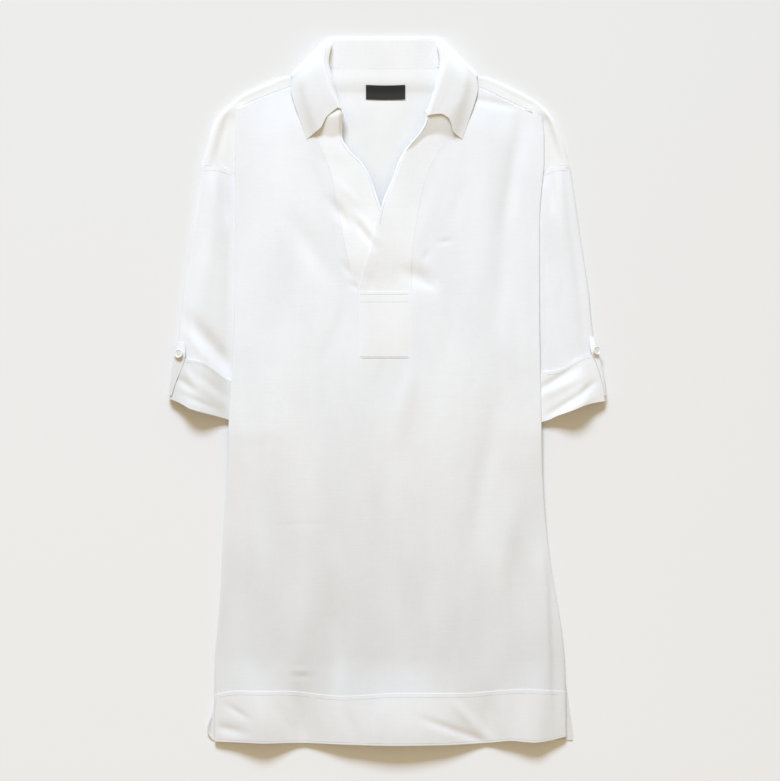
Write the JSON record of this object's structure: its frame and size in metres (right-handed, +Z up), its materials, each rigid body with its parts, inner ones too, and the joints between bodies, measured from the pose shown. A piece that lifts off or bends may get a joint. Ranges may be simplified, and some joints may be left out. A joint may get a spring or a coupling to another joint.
{
  "type": "popover dress",
  "caption": "Loose popover dress laid flat: open placket neck with a turned-down collar, drop shoulders, rolled sleeves held by buttoned tabs, deep hem band and side vents.",
  "frame": {"origin": "centre of the dress's box at the surface it lies on", "axes": "+X to the right as seen from above, +Y from the hem to the collar, +Z up off the surface"},
  "size_m": [0.5678, 0.9174, 0.0226],
  "materials": {
    "linen": "matte",
    "label": "satin",
    "button": "gloss"
  },
  "bodies": {
    "root": {"front": "linen", "back": "linen", "yoke": "linen", "front_hem": "linen", "back_hem": "linen", "sleeve_left": "linen", "sleeve_right": "linen", "cuff_left": "linen", "cuff_right": "linen", "tab_left": "linen", "tab_right": "linen", "button_left": "button", "button_right": "button", "collar": "linen", "collar_stand": "linen", "placket_left": "linen", "placket_right": "linen", "placket_box": "linen", "neck_label": "label"}
  },
  "joints": []
}
